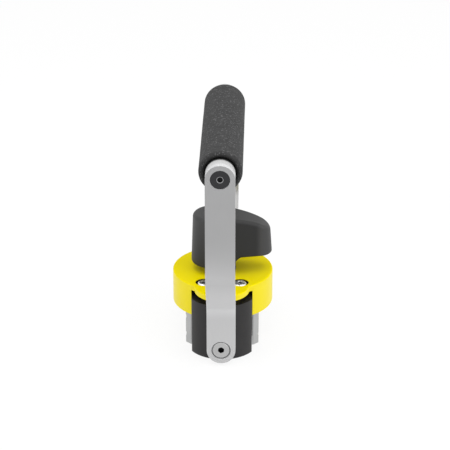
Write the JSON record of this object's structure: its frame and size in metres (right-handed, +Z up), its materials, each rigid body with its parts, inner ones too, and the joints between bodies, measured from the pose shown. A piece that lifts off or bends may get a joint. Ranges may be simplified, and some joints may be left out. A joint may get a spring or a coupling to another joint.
{
  "type": "magnetic hand lifter",
  "caption": "Hand lifter with steel pole shoes, a turning knob that switches its magnets, and a swinging handle with a foam grip.",
  "frame": {"origin": "middle of the working face, level with the undersides of both pole shoes", "axes": "+Z up through the knob's axis, +X where the knob points at rest, +Y from the front arm to the rear arm along the handle's swing line"},
  "size_m": [0.089, 0.196, 0.207],
  "materials": {
    "black_steel": "satin black oxide",
    "bare_aluminium": "machined",
    "brushed_aluminium": "fine blasted and anodised",
    "yellow_paint": "gloss yellow",
    "black_plastic": "fine grained",
    "black_foam": "open foam skin",
    "zinc_steel": "bright zinc",
    "black_screw": "black oxide",
    "nickel_magnet": "nickel plated",
    "bronze": "sintered",
    "black_rubber": "smooth",
    "slide_plastic": "smooth"
  },
  "bodies": {
    "base": {"front_pole_shoe": "black_steel", "rear_pole_shoe": "black_steel", "right_side_wall": "bare_aluminium", "left_side_wall": "bare_aluminium", "wall_screw_1": "zinc_steel", "wall_screw_2": "zinc_steel", "wall_screw_3": "zinc_steel", "wall_screw_4": "zinc_steel", "wall_screw_5": "zinc_steel", "wall_screw_6": "zinc_steel", "wall_screw_7": "zinc_steel", "wall_screw_8": "zinc_steel", "base_plate": "bare_aluminium", "fixed_magnet": "nickel_magnet", "slide_disc": "slide_plastic", "thrust_washer": "bronze", "top_cover": "yellow_paint", "cover_screw_1": "zinc_steel", "cover_screw_2": "zinc_steel", "cover_screw_3": "zinc_steel", "cover_screw_4": "zinc_steel", "shaft_bush": "bronze", "shaft_seal": "black_rubber", "front_pivot_bolt": "zinc_steel", "rear_pivot_bolt": "zinc_steel", "front_pivot_spacer": "zinc_steel", "rear_pivot_spacer": "zinc_steel"},
    "switch": {"knob": "black_plastic", "knob_screw": "black_screw", "drive_shaft": "zinc_steel", "magnet_carrier": "bare_aluminium", "turning_magnet": "nickel_magnet", "drive_dowel_1": "zinc_steel", "drive_dowel_2": "zinc_steel", "stop_pin": "zinc_steel"},
    "handle": {"front_arm": "brushed_aluminium", "rear_arm": "brushed_aluminium", "front_pivot_bush": "bronze", "rear_pivot_bush": "bronze", "front_grip_screw": "black_screw", "rear_grip_screw": "black_screw", "grip_bar": "bare_aluminium", "foam_grip": "black_foam"}
  },
  "joints": [
    {"name": "handle_swing", "type": "hinge", "parent": "base", "child": "handle", "pos_m": [0, 0, 0.015], "axis": [0, 1, 0], "range_deg": [-62, 62]},
    {"name": "knob_turn", "type": "hinge", "parent": "base", "child": "switch", "pos_m": [0, 0, 0.071], "axis": [0, 0, 1], "range_deg": [0, 180]}
  ]
}
